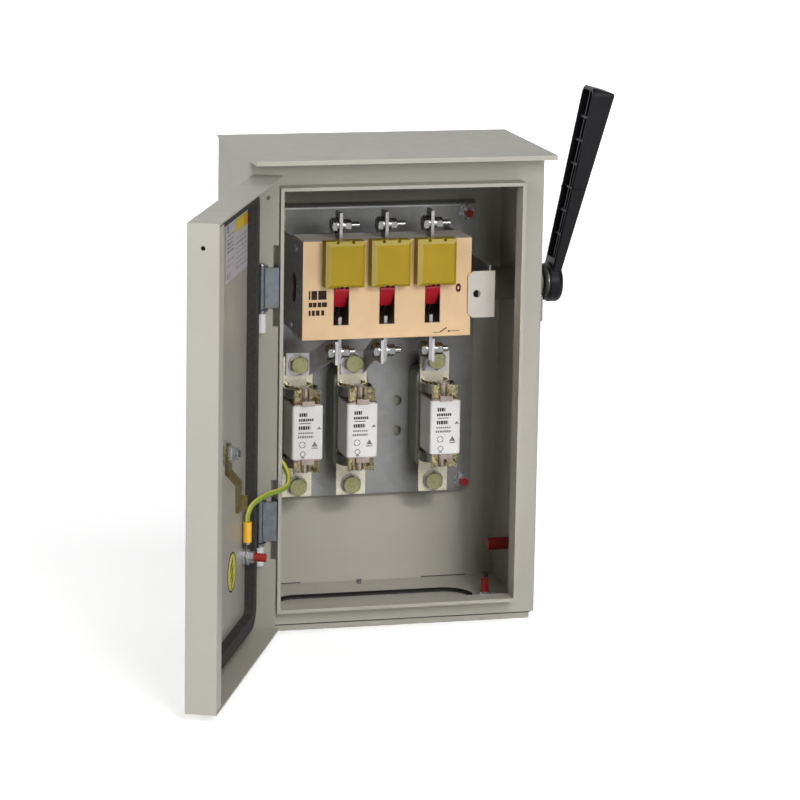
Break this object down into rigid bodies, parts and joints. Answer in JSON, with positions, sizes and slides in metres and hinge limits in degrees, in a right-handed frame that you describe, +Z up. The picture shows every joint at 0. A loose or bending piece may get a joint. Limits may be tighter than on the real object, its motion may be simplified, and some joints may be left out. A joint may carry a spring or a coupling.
{
  "type": "switch fuse box",
  "caption": "Wall-mounted sheet-steel switch fuse box with rain roof, hinged door, switch with side lever and blade fuse links.",
  "frame": {"origin": "centre of the wall hole pattern, on the back face of the box", "axes": "+Z up, +Y back into the wall, +X to the right seen from the front, the door side is -Y"},
  "size_m": [0.478, 0.414, 0.496],
  "materials": {
    "beige": "moulded sheet",
    "black": "moulded",
    "brass": "plated brass",
    "brown_base": "moulding compound",
    "ceramic": "glazed ceramic",
    "dark_zinc": "zinc plated, dull",
    "foam": "closed cell foam",
    "galvanised": "galvanised sheet",
    "grey_plastic": "moulded",
    "light_grey": "smooth paint",
    "ochre": "moulding compound",
    "orange": "shrunk sleeve",
    "paint": "fine textured powder coat",
    "red": "moulded",
    "tinned": "tinned copper",
    "white_plastic": "moulded",
    "wire_green": "cable jacket",
    "zinc": "zinc plated"
  },
  "bodies": {
    "enclosure": {"enclosure_shell": "paint", "rain_roof": "paint", "gland_gasket": "foam", "gland_plate": "paint", "gland_screws": "zinc", "hinge_leaves": "dark_zinc", "mounting_plate": "galvanised", "weld_studs": "zinc", "stud_nuts": "zinc", "stud_caps": "red", "switch_side_left": "zinc", "switch_side_right": "zinc", "switch_screws": "zinc", "contact_board": "brown_base", "switch_cover": "beige", "arc_chutes": "ochre", "fixed_contacts": "tinned", "terminal_bolts": "zinc", "terminal_nuts": "zinc", "bearing_bush": "grey_plastic", "padlock_plate": "zinc", "shaft_seal": "black", "drive_bracket": "zinc", "interlock_plate": "light_grey", "fuse_bases": "brown_base", "fuse_jaws": "tinned", "jaw_springs": "brass", "fuse_bolts": "brass", "link_straps": "tinned", "earth_wire": "wire_green", "body_lug": "tinned", "body_sleeve": "orange"},
    "door": {"door_panel": "paint", "door_gasket": "foam", "door_brackets": "dark_zinc", "hinge_pins": "zinc", "hinge_bushes": "white_plastic", "latch_barrel": "zinc", "latch_nut": "zinc", "door_earth_stud": "zinc", "door_earth_nuts": "zinc", "door_stud_cap": "red", "door_lug": "tinned", "door_sleeve": "orange"},
    "cam_latch": {"latch_core": "zinc", "cam_lever": "brass", "cam_nut": "zinc"},
    "handle": {"drive_shaft": "zinc", "handle_lever": "black", "handle_bolt": "zinc", "shaft_washer": "zinc"},
    "blade_rotor": {"traverse": "zinc", "blade_carriers": "red", "moving_blades": "tinned"},
    "fuse_link_1": {"fuse_body_1": "ceramic", "fuse_ends_1": "tinned"},
    "fuse_link_2": {"fuse_body_2": "ceramic", "fuse_ends_2": "tinned"},
    "fuse_link_3": {"fuse_body_3": "ceramic", "fuse_ends_3": "tinned"}
  },
  "joints": [
    {"name": "door_hinge", "type": "hinge", "parent": "enclosure", "child": "door", "pos_m": [-0.1323, -0.1579, 0], "axis": [0, 0, -1], "range_deg": [-113.85, 3], "deforming": ["earth_wire"]},
    {"name": "latch_turn", "type": "hinge", "parent": "door", "child": "cam_latch", "pos_m": [-0.20566, -0.35649, -0.0025], "axis": [0.9146, -0.4043, 0], "range_deg": [-90, 0]},
    {"name": "handle_turn", "type": "hinge", "parent": "enclosure", "child": "handle", "pos_m": [0.1, -0.055, 0.082], "axis": [1, 0, 0], "range_deg": [0, 80]},
    {"name": "blade_turn", "type": "hinge", "parent": "enclosure", "child": "blade_rotor", "pos_m": [0, -0.078, 0.085], "axis": [1, 0, 0], "range_deg": [-40, 0]},
    {"name": "fuse_1_pull", "type": "slide", "parent": "enclosure", "child": "fuse_link_1", "axis": [0, -1, 0], "range_m": [0, 0.04]},
    {"name": "fuse_2_pull", "type": "slide", "parent": "enclosure", "child": "fuse_link_2", "axis": [0, -1, 0], "range_m": [0, 0.04]},
    {"name": "fuse_3_pull", "type": "slide", "parent": "enclosure", "child": "fuse_link_3", "axis": [0, -1, 0], "range_m": [0, 0.04]}
  ],
  "couplings": [
    {"joint": "blade_turn", "follows": "handle_turn", "ratio": -0.5}
  ]
}
